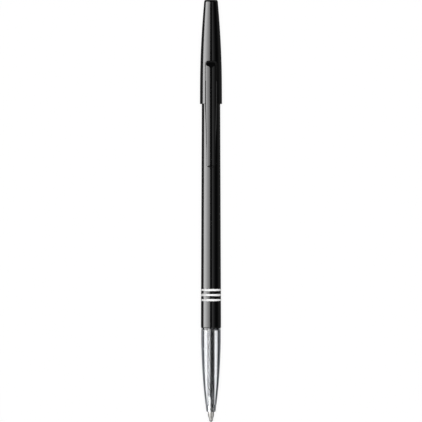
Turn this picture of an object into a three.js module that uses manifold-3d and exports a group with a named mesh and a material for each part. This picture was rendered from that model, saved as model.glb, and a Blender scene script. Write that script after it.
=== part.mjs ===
// A slim stick ballpoint pen with its cap pushed onto the rear end.
//
// Millimetres, +Z up. The pen lies on a table along X, with its tip towards -X, the closed end of
// its cap towards +X, and the clip facing up. The barrel, the nose, the refill and the cap are
// turned shapes on one axis, so each is drawn as half an outline and turned about that axis.

import * as THREE from "three";
import { mergeVertices } from "three/addons/utils/BufferGeometryUtils.js";
import Module from "manifold-3d";

const wasm = await Module();
wasm.setup();

// Barrel: a tapered tube, widest at its front edge.
const BARREL_LENGTH = 101.0;
const BARREL_FRONT_RADIUS = 3.82;
const BARREL_REAR_RADIUS = 3.44;
const BARREL_WALL = 0.74;
const BARREL_EDGE_ROUND_LENGTH = 1.0;
const BARREL_EDGE_ROUND_DEPTH = 0.42;
const BARREL_REAR_ROUND = 0.2;

// White rings printed round the barrel, counted from its front edge.
const BAND_START = 10.0;
const BAND_WIDTH = 0.78;
const BAND_PITCH = 1.9;
const BAND_THICKNESS = 0.04;

// Clear nose: a straight collar behind, a long curve to the front face, and a spigot in the barrel.
const NOSE_LENGTH = 32.0;
const NOSE_SHOULDER_STEP = 0.13;
const NOSE_COLLAR_LENGTH = 4.8;
const NOSE_WALL = 1.05;
const NOSE_REAR_PULL = 12.6;
const NOSE_REAR_SLOPE = 0.017;
const NOSE_FRONT_PULL = 3.7;
const NOSE_FRONT_SLOPE = 0.17;
const NOSE_FRONT_WALL = 0.64;
const NOSE_FRONT_ROUND_LENGTH = 1.4;
const NOSE_FRONT_ROUND_DEPTH = 0.34;
const NOSE_BORE_STRAIGHT = 6.4;
const NOSE_BORE_PULL = 13.0;
const NOSE_BORE_SLOPE = 0.018;
const NOSE_SEAT_DEPTH = 2.73;
const NOSE_SEAT_LENGTH = 1.7;
const NOSE_SEAT_ROOM = 0.3;
const SPIGOT_LENGTH = 8.0;
const SPIGOT_WALL = 0.41;

// Refill: a plastic tube with ink in it, and a turned metal tip that plugs its front end.
const REFILL_RADIUS = 1.325;
const REFILL_WALL = 0.375;
const REFILL_REAR_ROOM = 7.2;
const INK_REAR_ROOM = 11.0;
const INK_FRONT_GAP = 0.05;

// Writing tip: how far it stands out of the nose, and its outline behind the ball.
const TIP_EXPOSED_LENGTH = 3.9;
const TIP_BODY_RADIUS = 1.14;
const TIP_CONE_LENGTH = 2.46;
const TIP_NECK_RADIUS = 0.76;
const TIP_NECK_START = 0.9;
const TIP_NECK_END = 1.4;
const TIP_SHANK_LENGTH = 2.8;
const TIP_LIP_WALL = 0.06;
const TIP_LIP_SETBACK = 0.36;
const INK_CHANNEL_RADIUS = 0.25;
const BALL_RADIUS = 0.5;

// Plug in the rear end of the barrel, with a vent hole for the air that follows the ink.
const PLUG_HEAD_LENGTH = 0.8;
const PLUG_HEAD_STEP = 0.08;
const PLUG_HEAD_ROUND = 0.2;
const PLUG_SHANK_LENGTH = 5.0;
const PLUG_VENT_RADIUS = 0.5;

// Cap: long enough to take the whole nose and tip when it is put on the front.
const CAP_TIP_ROOM = 2.3;
const CAP_END_WALL = 1.2;
const CAP_RIM_WALL = 0.48;
const CAP_RIM_ROUND = 0.2;
const CAP_MOUTH_CHAMFER_LENGTH = 0.24;
const CAP_MOUTH_CHAMFER_DEPTH = 0.12;
const CAP_GRIP_LENGTH = 6.0;
const CAP_POSTED_DEPTH = 17.1;
const CAP_END_RADIUS = 2.64;
const CAP_END_ROUND_LENGTH = 1.1;
const CAP_END_ROUND_DEPTH = 0.46;
const CAP_END_SIDE_WALL = 0.6;
const CAP_RIM_PULL = 8.6;
const CAP_RIM_SLOPE = 0.01;
const CAP_END_PULL = 19.5;
const CAP_END_SLOPE = 0.087;

// Clip: a strap on a root that stands on the cap, with a bump under its free end.
const CLIP_LENGTH = 40.55;
const CLIP_OVERHANG = 24.45;
const CLIP_ROOT_LENGTH = 7.5;
const CLIP_ROOT_WIDTH = 4.4;
const CLIP_TIP_WIDTH = 3.3;
const CLIP_TAPER_LENGTH = 17.5;
const CLIP_TIP_ROUND_LENGTH = 1.5;
const CLIP_THICKNESS = 1.25;
const CLIP_CROWN_RADIUS = 4.2;
const CLIP_UNDER_GAP = 0.35;
const CLIP_ROOT_BEND_LENGTH = 3.2;
const CLIP_ROOT_BEND_DROP = 1.2;
const CLIP_CORNER_LENGTH = 1.3;
const CLIP_CORNER_DEPTH = 0.7;
const CLIP_NOSE_ROUND = 0.55;
const CLIP_BUMP_LENGTH = 4.0;
const CLIP_BUMP_FROM_TIP = 1.2;

// Clearances.
const FIT_GAP = 0.02;
const SPIGOT_CLEARANCE = 0.03;
const TIP_BORE_CLEARANCE = 0.06;
const BALL_CLEARANCE = 0.02;
const CAP_GRIP_CLEARANCE = 0.03;
const CAP_POST_CLEARANCE = 0.03;
const CUT_GAP = 0.3;

// Sides of the turned shapes. Their flats, and not their corners, face down, up and sideways.
const WIDE_SIDES = 48;
const SLIM_SIDES = 24;
const CROWN_SIDES = 96;
const BALL_SEGMENTS = 20;
const BALL_RINGS = 12;

// Steps in each rounded edge, in each long curve, and round the socket and the bump.
const EDGE_STEPS = 4;
const CURVE_STEPS = 14;
const SOCKET_STEPS = 8;
const BUMP_STEPS = 8;

// How far a cutting shape reaches past what it cuts, and the distance at which corners are one.
const CUT_REACH = 1.0;
const MERGE_DISTANCE = 1e-4;

// Sizes that follow from the ones above. Along the pen, distances run from the very tip.
const noseFront = TIP_EXPOSED_LENGTH;
const tipShoulder = noseFront + NOSE_SEAT_DEPTH;
const tubeFront = tipShoulder + FIT_GAP;
const barrelFront = noseFront + NOSE_LENGTH;
const tubeRear = barrelFront + BARREL_LENGTH - PLUG_SHANK_LENGTH - REFILL_REAR_ROOM;
const inkFront = tipShoulder + TIP_SHANK_LENGTH + INK_FRONT_GAP;
const inkRear = tubeRear - INK_REAR_ROOM;
const plugRear = barrelFront + BARREL_LENGTH + PLUG_HEAD_LENGTH;
const capRim = plugRear - CAP_POSTED_DEPTH;
const capLength = NOSE_LENGTH + TIP_EXPOSED_LENGTH + CAP_TIP_ROOM + CAP_END_WALL;
const overallLength = capRim + capLength;
const shoulderRadius = BARREL_FRONT_RADIUS - NOSE_SHOULDER_STEP;
const mouthRadius = shoulderRadius + CAP_GRIP_CLEARANCE;
const rimRadius = mouthRadius + CAP_RIM_WALL;
const tubeBore = REFILL_RADIUS - REFILL_WALL;
const tipBore = TIP_BODY_RADIUS + TIP_BORE_CLEARANCE;
const axisHeight = rimRadius * Math.cos(Math.PI / WIDE_SIDES);
const clipUnderside = rimRadius + CLIP_UNDER_GAP;
const clipTop = clipUnderside + CLIP_THICKNESS;
const clipTip = -CLIP_OVERHANG;
const clipRootEnd = clipTip + CLIP_LENGTH;
const clipRootFront = clipRootEnd - CLIP_ROOT_LENGTH;

// The barrel's outer and inner radius at a distance behind its front edge.
function barrelRadius(along) {
  return BARREL_FRONT_RADIUS + ((BARREL_REAR_RADIUS - BARREL_FRONT_RADIUS) * along) / BARREL_LENGTH;
}

function barrelBore(along) {
  return barrelRadius(along) - BARREL_WALL;
}

// A quarter of an ellipse from one point to another, rounding off the corner between them.
function rounding(from, to, corner) {
  const points = [];
  for (let step = 0; step <= EDGE_STEPS; step += 1) {
    const turn = (step / EDGE_STEPS) * (Math.PI / 2);
    const back = 1 - Math.sin(turn);
    const ahead = 1 - Math.cos(turn);
    points.push([
      corner[0] + (from[0] - corner[0]) * back + (to[0] - corner[0]) * ahead,
      corner[1] + (from[1] - corner[1]) * back + (to[1] - corner[1]) * ahead,
    ]);
  }
  return points;
}

// A smooth curve from one point to another, pulled by two points between them.
function sweep(from, firstPull, lastPull, to) {
  const [a, b, c, d] = [from, firstPull, lastPull, to].map((point) => new THREE.Vector2(...point));
  const curve = new THREE.CubicBezierCurve(a, b, c, d);
  return curve.getPoints(CURVE_STEPS).map((point) => [point.x, point.y]);
}

// Part of a circle about a centre on the axis, between two angles from the +X direction.
function arc(centre, radius, fromAngle, toAngle) {
  const points = [];
  for (let step = 0; step <= SOCKET_STEPS; step += 1) {
    const angle = fromAngle + ((toAngle - fromAngle) * step) / SOCKET_STEPS;
    points.push([centre + radius * Math.cos(angle), radius * Math.sin(angle)]);
  }
  return points;
}

// Turns an outline of [distance along, radius] points about the X axis. The outside is drawn
// towards +X. A ring's outline closes on itself, and a solid's starts and ends on the axis.
function turned(outline, sides) {
  const points = outline.map(([along, radius]) => new THREE.Vector2(radius, along));
  const geometry = new THREE.LatheGeometry(points, sides, Math.PI / sides);
  return geometry.rotateZ(-Math.PI / 2);
}

function turnedRing(outline, sides) {
  return turned([...outline, outline[0]], sides);
}

// A flat outline of [x, y] points as a block between two heights.
function block(outline, low, high) {
  const shape = new THREE.Shape(outline.map(([x, y]) => new THREE.Vector2(x, y)));
  const geometry = new THREE.ExtrudeGeometry(shape, { depth: high - low, bevelEnabled: false });
  return geometry.translate(0, 0, low);
}

// A side outline of [x, z] points as a block that is as wide to the left as to the right.
function sideBlock(outline, width) {
  return block(outline, -width / 2, width / 2).rotateX(Math.PI / 2);
}

function solidFrom(geometry) {
  const bare = geometry.clone();
  bare.deleteAttribute("normal");
  bare.deleteAttribute("uv");
  const merged = mergeVertices(bare, MERGE_DISTANCE);
  const corners = merged.index.array;
  const kept = [];
  for (let i = 0; i < corners.length; i += 3) {
    const [a, b, c] = [corners[i], corners[i + 1], corners[i + 2]];
    if (a !== b && b !== c && c !== a) {
      kept.push(a, b, c);
    }
  }
  const vertProperties = new Float32Array(merged.attributes.position.array);
  const mesh = new wasm.Mesh({ numProp: 3, vertProperties, triVerts: new Uint32Array(kept) });
  return new wasm.Manifold(mesh);
}

function geometryFrom(solid) {
  const mesh = solid.getMesh();
  const geometry = new THREE.BufferGeometry();
  geometry.setAttribute("position", new THREE.BufferAttribute(mesh.vertProperties, 3));
  geometry.setIndex(new THREE.BufferAttribute(mesh.triVerts, 1));
  geometry.computeVertexNormals();
  return geometry;
}

// Finishes.
const blackPlastic = { color: 0x0a0a0b, roughness: 0.16, metalness: 0 };
const plugPlastic = { color: 0x17171a, roughness: 0.35, metalness: 0 };
const whitePrint = { color: 0xf2f2f0, roughness: 0.45, metalness: 0 };
const clearPlastic = { color: 0xdde4ea, roughness: 0.05, metalness: 0, transparent: true, opacity: 0.3 };
const milkyPlastic = { color: 0xd9d9d4, roughness: 0.2, metalness: 0, transparent: true, opacity: 0.5 };
const blackInk = { color: 0x040405, roughness: 0.1, metalness: 0 };
const nickelSilver = { color: 0xb8b4aa, roughness: 0.22, metalness: 1 };
const hardMetal = { color: 0x8c8f94, roughness: 0.12, metalness: 1 };

function piece(name, geometry, finish) {
  const mesh = new THREE.Mesh(geometry, new THREE.MeshStandardMaterial(finish));
  mesh.name = name;
  return mesh;
}

// Barrel, drawn from its front edge.
function barrel() {
  const faceRadius = BARREL_FRONT_RADIUS - BARREL_EDGE_ROUND_DEPTH;
  const edgeRadius = barrelRadius(BARREL_EDGE_ROUND_LENGTH);
  const rearEdge = BARREL_LENGTH - BARREL_REAR_ROUND;
  const rearRadius = barrelRadius(rearEdge);
  return turnedRing(
    [
      [0, barrelBore(0)],
      ...rounding([0, faceRadius], [BARREL_EDGE_ROUND_LENGTH, edgeRadius], [0, edgeRadius]),
      ...rounding(
        [rearEdge, rearRadius],
        [BARREL_LENGTH, rearRadius - BARREL_REAR_ROUND],
        [BARREL_LENGTH, rearRadius],
      ),
      [BARREL_LENGTH, barrelBore(BARREL_LENGTH)],
    ],
    WIDE_SIDES,
  );
}

// One printed ring, numbered from 0 at the front. It follows the barrel's taper.
function printBand(number) {
  const from = BAND_START + number * BAND_PITCH;
  const to = from + BAND_WIDTH;
  const inner = (along) => barrelRadius(along) + FIT_GAP;
  const outer = (along) => inner(along) + BAND_THICKNESS;
  return turnedRing(
    [
      [from, inner(from)],
      [from, outer(from)],
      [to, outer(to)],
      [to, inner(to)],
    ],
    WIDE_SIDES,
  );
}

// Clear nose, drawn from the barrel's front edge, so its front end lies at negative distances.
function noseSection() {
  const front = -NOSE_LENGTH;
  const curveEnd = front + NOSE_FRONT_ROUND_LENGTH;
  const frontRadius = tipBore + NOSE_FRONT_WALL;
  const collarFront = -NOSE_COLLAR_LENGTH;
  const outside = sweep(
    [curveEnd, frontRadius],
    [curveEnd + NOSE_FRONT_PULL, frontRadius + NOSE_FRONT_PULL * NOSE_FRONT_SLOPE],
    [collarFront - NOSE_REAR_PULL, shoulderRadius - NOSE_REAR_PULL * NOSE_REAR_SLOPE],
    [collarFront, shoulderRadius],
  );
  const spigotRadius = (along) => barrelBore(along) - SPIGOT_CLEARANCE;
  const spigotBore = spigotRadius(SPIGOT_LENGTH) - SPIGOT_WALL;
  const boreRadius = shoulderRadius - NOSE_WALL;
  const boreStraight = -NOSE_BORE_STRAIGHT;
  const seat = front + NOSE_SEAT_DEPTH;
  const seatRadius = REFILL_RADIUS + NOSE_SEAT_ROOM;
  const pull = [boreStraight - NOSE_BORE_PULL, boreRadius - NOSE_BORE_PULL * NOSE_BORE_SLOPE];
  const inside = sweep([boreStraight, boreRadius], pull, pull, [seat + NOSE_SEAT_LENGTH, seatRadius]);
  return turnedRing(
    [
      [front, tipBore],
      ...rounding(
        [front, frontRadius - NOSE_FRONT_ROUND_DEPTH],
        [curveEnd, frontRadius],
        [front, frontRadius],
      ),
      ...outside.slice(1),
      [-FIT_GAP, shoulderRadius],
      [-FIT_GAP, spigotRadius(0)],
      [SPIGOT_LENGTH, spigotRadius(SPIGOT_LENGTH)],
      [SPIGOT_LENGTH, spigotBore],
      [0, spigotBore],
      ...inside,
      [seat, seatRadius],
      [seat, tipBore],
    ],
    WIDE_SIDES,
  );
}

// Plug, drawn from the barrel's rear end.
function endPlug() {
  const plugRadius = (along) => barrelBore(BARREL_LENGTH + along) - SPIGOT_CLEARANCE;
  const headRadius = BARREL_REAR_RADIUS - PLUG_HEAD_STEP;
  return turnedRing(
    [
      [-PLUG_SHANK_LENGTH, PLUG_VENT_RADIUS],
      [-PLUG_SHANK_LENGTH, plugRadius(-PLUG_SHANK_LENGTH)],
      [FIT_GAP, plugRadius(0)],
      [FIT_GAP, headRadius],
      ...rounding(
        [PLUG_HEAD_LENGTH - PLUG_HEAD_ROUND, headRadius],
        [PLUG_HEAD_LENGTH, headRadius - PLUG_HEAD_ROUND],
        [PLUG_HEAD_LENGTH, headRadius],
      ),
      [PLUG_HEAD_LENGTH, PLUG_VENT_RADIUS],
    ],
    WIDE_SIDES,
  );
}

// Tube, drawn from its front end.
function refillTube() {
  const length = tubeRear - tubeFront;
  return turnedRing(
    [
      [0, tubeBore],
      [0, REFILL_RADIUS],
      [length, REFILL_RADIUS],
      [length, tubeBore],
    ],
    SLIM_SIDES,
  );
}

function inkColumn() {
  const radius = tubeBore - FIT_GAP;
  const length = inkRear - inkFront;
  return turned([[0, 0], [0, radius], [length, radius], [length, 0]], SLIM_SIDES);
}

// Writing tip, drawn from the front of the ball: lip, cone, neck, body, shank and ink channel.
function writingTip() {
  const ballCentre = BALL_RADIUS;
  const socketRadius = BALL_RADIUS + BALL_CLEARANCE;
  const lipAngle = Math.acos((TIP_LIP_SETBACK - ballCentre) / socketRadius);
  const channelAngle = Math.asin(INK_CHANNEL_RADIUS / socketRadius);
  const lipRadius = socketRadius * Math.sin(lipAngle);
  const shankEnd = tipShoulder + TIP_SHANK_LENGTH;
  const shankRadius = tubeBore - FIT_GAP;
  return turnedRing(
    [
      [TIP_LIP_SETBACK, lipRadius + TIP_LIP_WALL],
      [TIP_NECK_START, TIP_NECK_RADIUS],
      [TIP_NECK_END, TIP_NECK_RADIUS],
      [TIP_CONE_LENGTH, TIP_BODY_RADIUS],
      [tipShoulder, TIP_BODY_RADIUS],
      [tipShoulder, shankRadius],
      [shankEnd, shankRadius],
      [shankEnd, INK_CHANNEL_RADIUS],
      ...arc(ballCentre, socketRadius, channelAngle, lipAngle),
    ],
    SLIM_SIDES,
  );
}

// Cap, drawn from its rim. The clip's root stands on it and goes into its wall.
function capOutside() {
  const edge = capLength - CAP_END_ROUND_LENGTH;
  const curve = sweep(
    [CAP_RIM_ROUND, rimRadius],
    [CAP_RIM_ROUND + CAP_RIM_PULL, rimRadius - CAP_RIM_PULL * CAP_RIM_SLOPE],
    [edge - CAP_END_PULL, CAP_END_RADIUS + CAP_END_PULL * CAP_END_SLOPE],
    [edge, CAP_END_RADIUS],
  );
  return turned(
    [
      [0, 0],
      ...rounding([0, rimRadius - CAP_RIM_ROUND], [CAP_RIM_ROUND, rimRadius], [0, rimRadius]),
      ...curve.slice(1, -1),
      ...rounding(
        [edge, CAP_END_RADIUS],
        [capLength, CAP_END_RADIUS - CAP_END_ROUND_DEPTH],
        [capLength, CAP_END_RADIUS],
      ),
      [capLength, 0],
    ],
    WIDE_SIDES,
  );
}

function capHollow() {
  const postRadius = BARREL_REAR_RADIUS + CAP_POST_CLEARANCE;
  const endRadius = CAP_END_RADIUS - CAP_END_SIDE_WALL;
  const floor = capLength - CAP_END_WALL;
  return turned(
    [
      [-CUT_REACH, 0],
      [-CUT_REACH, mouthRadius + CAP_MOUTH_CHAMFER_DEPTH],
      [0, mouthRadius + CAP_MOUTH_CHAMFER_DEPTH],
      [CAP_MOUTH_CHAMFER_LENGTH, mouthRadius],
      [CAP_GRIP_LENGTH, mouthRadius],
      [CAP_POSTED_DEPTH, postRadius],
      [floor, endRadius],
      [floor, 0],
    ],
    WIDE_SIDES,
  );
}

// The clip seen from above: a straight strap that narrows past the rim and has a round free end.
function clipPlan() {
  const wide = CLIP_ROOT_WIDTH / 2;
  const slim = CLIP_TIP_WIDTH / 2;
  const cornerStart = clipRootEnd - CLIP_CORNER_LENGTH;
  const rootCorner = rounding(
    [clipRootEnd, wide - CLIP_CORNER_DEPTH],
    [cornerStart, wide],
    [clipRootEnd, wide],
  );
  const freeEnd = rounding([clipTip + CLIP_TIP_ROUND_LENGTH, slim], [clipTip, 0], [clipTip, slim]);
  const upper = [...rootCorner, [0, wide], [-CLIP_TAPER_LENGTH, slim], ...freeEnd];
  const lower = upper.slice(0, -1).reverse().map(([x, y]) => [x, -y]);
  return block([...upper, ...lower], 0, clipTop + CUT_REACH);
}

// A long round bar whose top gives the clip its crowned face.
function clipCrown() {
  const bar = [
    [clipTip - CUT_REACH, 0],
    [clipTip - CUT_REACH, CLIP_CROWN_RADIUS],
    [clipRootEnd + CUT_REACH, CLIP_CROWN_RADIUS],
    [clipRootEnd + CUT_REACH, 0],
  ];
  return turned(bar, CROWN_SIDES).translate(0, 0, clipTop - CLIP_CROWN_RADIUS);
}

// The two side outlines of the clip: the root down to the pen's axis, and the free strap.
function clipRootSide() {
  return [
    [clipRootFront, 0],
    [clipRootEnd, 0],
    ...rounding(
      [clipRootEnd, clipTop - CLIP_ROOT_BEND_DROP],
      [clipRootEnd - CLIP_ROOT_BEND_LENGTH, clipTop],
      [clipRootEnd, clipTop],
    ),
    [clipRootFront, clipTop],
  ];
}

function clipStrapSide() {
  const strapRear = clipRootFront - CUT_GAP;
  const bumpStart = clipTip + CLIP_BUMP_FROM_TIP;
  const bumpMiddle = bumpStart + CLIP_BUMP_LENGTH / 2;
  const barrelTop = barrelRadius(capRim + bumpMiddle - barrelFront);
  const bumpDepth = clipUnderside - (barrelTop + CUT_GAP);
  const bump = [];
  for (let step = 0; step <= BUMP_STEPS; step += 1) {
    const along = bumpStart + (CLIP_BUMP_LENGTH * step) / BUMP_STEPS;
    const dip = (bumpDepth * (1 - Math.cos((2 * Math.PI * step) / BUMP_STEPS))) / 2;
    bump.push([along, clipUnderside - dip]);
  }
  return [
    [clipTip, clipUnderside],
    ...bump,
    [strapRear, clipUnderside],
    [strapRear, clipTop],
    ...rounding(
      [clipTip + CLIP_NOSE_ROUND, clipTop],
      [clipTip, clipTop - CLIP_NOSE_ROUND],
      [clipTip, clipTop],
    ),
  ];
}

function clipSolid(sideOutline) {
  const side = solidFrom(sideBlock(sideOutline, 2 * CLIP_ROOT_WIDTH));
  return side.intersect(solidFrom(clipPlan())).intersect(solidFrom(clipCrown()));
}

function cap() {
  const whole = solidFrom(capOutside()).add(clipSolid(clipRootSide()));
  return geometryFrom(whole.subtract(solidFrom(capHollow())));
}

// The body of the pen, placed at the barrel's front edge.
const body = new THREE.Group();
body.position.x = barrelFront;
body.add(piece("barrel", barrel(), blackPlastic));
const bandNames = ["print_band_front", "print_band_middle", "print_band_rear"];
bandNames.forEach((name, number) => body.add(piece(name, printBand(number), whitePrint)));
body.add(piece("nose_section", noseSection(), clearPlastic));
const plug = piece("end_plug", endPlug(), plugPlastic);
plug.position.x = BARREL_LENGTH;
body.add(plug);

// The refill, placed at the very tip.
const refill = new THREE.Group();
const tube = piece("refill_tube", refillTube(), milkyPlastic);
tube.position.x = tubeFront;
const ink = piece("ink_column", inkColumn(), blackInk);
ink.position.x = inkFront;
const ball = piece("ball", new THREE.SphereGeometry(BALL_RADIUS, BALL_SEGMENTS, BALL_RINGS), hardMetal);
ball.position.x = BALL_RADIUS;
refill.add(tube, ink, piece("writing_tip", writingTip(), nickelSilver), ball);

// The cap and its clip, placed at the cap's rim.
const capGroup = new THREE.Group();
capGroup.position.x = capRim;
capGroup.add(piece("cap", cap(), blackPlastic));
capGroup.add(piece("clip", geometryFrom(clipSolid(clipStrapSide())), blackPlastic));

const pen = new THREE.Group();
pen.add(body, refill, capGroup);
pen.position.set(-overallLength / 2, 0, axisHeight);

export default pen;
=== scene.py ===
# %% [markdown]
# # A slim stick ballpoint pen
#
# The pen lies along X with its writing tip towards -X and its cap pushed onto the rear end. The CAD
# part gives the places and the joints. Here each piece gets its fine surface and its finish.
# Nearly everything on such a pen comes off a lathe or out of a round mould, so nearly every piece is
# half an outline that is turned about the pen's axis.

# %% Load the part
import math

import bmesh
import bpy
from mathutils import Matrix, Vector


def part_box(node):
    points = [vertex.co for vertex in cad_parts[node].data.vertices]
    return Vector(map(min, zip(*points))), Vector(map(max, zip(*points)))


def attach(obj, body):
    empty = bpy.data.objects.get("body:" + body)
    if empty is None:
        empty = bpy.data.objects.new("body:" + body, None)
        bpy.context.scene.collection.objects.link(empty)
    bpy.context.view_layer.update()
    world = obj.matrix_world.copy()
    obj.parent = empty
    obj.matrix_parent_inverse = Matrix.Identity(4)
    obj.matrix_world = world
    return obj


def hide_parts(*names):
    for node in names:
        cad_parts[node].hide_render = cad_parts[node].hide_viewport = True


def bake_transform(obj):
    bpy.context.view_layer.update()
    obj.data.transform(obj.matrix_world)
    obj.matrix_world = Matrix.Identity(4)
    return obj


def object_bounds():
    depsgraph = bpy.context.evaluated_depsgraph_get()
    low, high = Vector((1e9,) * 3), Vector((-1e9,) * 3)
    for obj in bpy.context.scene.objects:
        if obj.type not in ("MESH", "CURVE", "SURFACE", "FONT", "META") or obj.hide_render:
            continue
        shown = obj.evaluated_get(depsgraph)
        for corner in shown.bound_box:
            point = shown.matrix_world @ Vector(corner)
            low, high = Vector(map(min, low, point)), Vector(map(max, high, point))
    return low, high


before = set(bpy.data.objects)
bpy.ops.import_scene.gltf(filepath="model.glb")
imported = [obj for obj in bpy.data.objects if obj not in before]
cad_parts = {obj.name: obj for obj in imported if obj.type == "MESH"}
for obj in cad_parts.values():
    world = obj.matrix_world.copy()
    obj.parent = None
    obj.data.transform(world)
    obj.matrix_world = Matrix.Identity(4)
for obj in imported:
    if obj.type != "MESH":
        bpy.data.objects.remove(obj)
cad_low, cad_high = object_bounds()
print("nodes:", ", ".join(sorted(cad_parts)))
print("CAD box in mm:", [round(v * 1000, 2) for v in (*cad_low, *cad_high)])

# %% [markdown]
# ## One unit and one axis
#
# Blender works in metres, and a pen is easier to think of in millimetres. So outlines are written in
# millimetres and scaled when a mesh is made. The barrel's box gives the height of the pen's axis.

# %% Millimetres and the axis
MM = 0.001


def reach(node):
    """Where a CAD node starts and ends along the pen, in mm."""
    low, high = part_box(node)
    return low.x / MM, high.x / MM


barrel_low, barrel_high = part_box("barrel")
axis_height = (barrel_low.z + barrel_high.z) / 2
barrel_front, barrel_rear = reach("barrel")
nose_front, spigot_end = reach("nose_section")
cap_rim, cap_end = reach("cap")
pen_front, pen_rear = cad_low.x / MM, cad_high.x / MM
print("axis height in mm:", round(axis_height / MM, 3))
print("barrel from", round(barrel_front, 2), "to", round(barrel_rear, 2))

# %% [markdown]
# ## The camera
#
# The photograph looks straight down at the pen from far away, with the cap at the top. The pen fills
# the picture from edge to edge, so the picture's side is the pen's length. A long lens at 1.5 m shows
# the sides of the barrel as parallel as they are there.

# %% Camera
CAMERA_DISTANCE = 1.5
SENSOR = 36.0

camera_data = bpy.data.cameras.new("copy_stand_camera")
camera = bpy.data.objects.new("copy_stand_camera", camera_data)
bpy.context.scene.collection.objects.link(camera)
camera.location = ((pen_front + pen_rear) / 2 * MM, 0, axis_height + CAMERA_DISTANCE)
camera.rotation_euler = (0, 0, -math.pi / 2)
camera_data.sensor_width = SENSOR
camera_data.lens = SENSOR * CAMERA_DISTANCE / ((pen_rear - pen_front) * MM)
camera_data.clip_start = 0.05
camera_data.clip_end = 20
bpy.context.scene.camera = camera
print("lens in mm:", round(camera_data.lens, 1))

# %% [markdown]
# ## Outlines
#
# A moulded edge is never sharp. A quarter of an ellipse rounds a corner off, and a Bezier curve draws
# the long swell of the cap and of the nose. Both give short lists of points to join up.

# %% Outline helpers
CORNER_STEPS = 8
FINE_STEPS = 4
CURVE_STEPS = 40


def rounded(start, end, corner, steps=CORNER_STEPS):
    """Points of a quarter ellipse from start to end that rounds off corner."""
    points = []
    for step in range(steps + 1):
        turn = step / steps * math.pi / 2
        back = 1 - math.sin(turn)
        ahead = 1 - math.cos(turn)
        points.append(tuple(
            c + (s - c) * back + (e - c) * ahead for s, e, c in zip(start, end, corner)
        ))
    return points


def pulled(point, length, slope):
    """The point that holds a curve at a slope where it leaves a point, length mm along the pen."""
    along, radius = point
    return along + length, radius + length * slope


def swell(*pulls, steps=CURVE_STEPS):
    """Points of a Bezier curve from the first pull to the last."""
    last = len(pulls) - 1
    points = []
    for step in range(steps + 1):
        t = step / steps
        weights = [math.comb(last, k) * (1 - t) ** (last - k) * t ** k for k in range(last + 1)]
        points.append(tuple(sum(w * p[axis] for w, p in zip(weights, pulls)) for axis in (0, 1)))
    return points


print("points in a rounded corner:", len(rounded((0, 0), (1, 1), (0, 1))))

# %% [markdown]
# ## Turning an outline
#
# A Screw modifier could turn the outline. Building the rings in code keeps the points in order, so the
# ends close on the axis or on themselves and the mesh has no loose edges. Faces that meet at more than
# 35 degrees keep a crisp edge, and all others are shaded smooth.

# %% Turned pieces
AROUND = 160
CRISP_ANGLE = math.radians(35)


def finish_mesh(name, points, faces, crisp=CRISP_ANGLE):
    """Makes an object from points in metres and faces, with its normals facing out."""
    mesh = bpy.data.meshes.new(name)
    mesh.from_pydata(points, [], faces)
    work = bmesh.new()
    work.from_mesh(mesh)
    bmesh.ops.remove_doubles(work, verts=work.verts, dist=1e-7)
    bmesh.ops.dissolve_degenerate(work, edges=work.edges, dist=1e-8)
    bmesh.ops.recalc_face_normals(work, faces=work.faces)
    open_edges = sum(1 for edge in work.edges if not edge.is_manifold)
    work.to_mesh(mesh)
    work.free()
    mesh.shade_smooth()
    mesh.set_sharp_from_angle(angle=crisp)
    piece = bpy.data.objects.new(name, mesh)
    bpy.context.scene.collection.objects.link(piece)
    print(name, "has", len(mesh.polygons), "faces and", open_edges, "open edges")
    return piece


def turned(name, outline, around=AROUND):
    """Turns an outline of (along, radius) points in mm about the pen's axis."""
    points, rings = [], []
    for along, radius in outline:
        count = around if radius > 0 else 1
        rings.append(range(len(points), len(points) + count))
        for k in range(count):
            angle = 2 * math.pi * k / count
            y = radius * math.sin(angle)
            z = radius * math.cos(angle)
            points.append((along * MM, y * MM, axis_height + z * MM))
    pairs = list(zip(rings, rings[1:]))
    if outline[0][1] > 0 and outline[-1][1] > 0:
        pairs.append((rings[-1], rings[0]))
    faces = []
    for near, far in pairs:
        for k in range(around):
            corners = [near[k % len(near)], near[(k + 1) % len(near)],
                       far[(k + 1) % len(far)], far[k % len(far)]]
            kept = [c for n, c in enumerate(corners) if c not in corners[:n]]
            if len(kept) > 2:
                faces.append(kept)
    return finish_mesh(name, points, faces)


def fit(piece, body, slot, *nodes):
    """The piece rides on a body and stands for its CAD nodes."""
    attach(piece, body)
    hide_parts(*nodes)
    return piece


# %% [markdown]
# ## The barrel
#
# The barrel is a plain tube, moulded with a slight taper so that it leaves its mould. Its front edge is
# rolled over to meet the clear nose in a fine groove.

# %% Barrel
BARREL_FRONT_RADIUS = 3.82
BARREL_REAR_RADIUS = 3.44
BARREL_WALL = 0.74
EDGE_ROLL_LENGTH = 0.32
EDGE_ROLL_DEPTH = 0.22
EDGE_AHEAD = 0.2
BARREL_REAR_ROUND = 0.2


def barrel_radius(x):
    """The barrel's radius at x mm, which tapers evenly."""
    share = (x - barrel_front) / (barrel_rear - barrel_front)
    return BARREL_FRONT_RADIUS + (BARREL_REAR_RADIUS - BARREL_FRONT_RADIUS) * share


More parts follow.
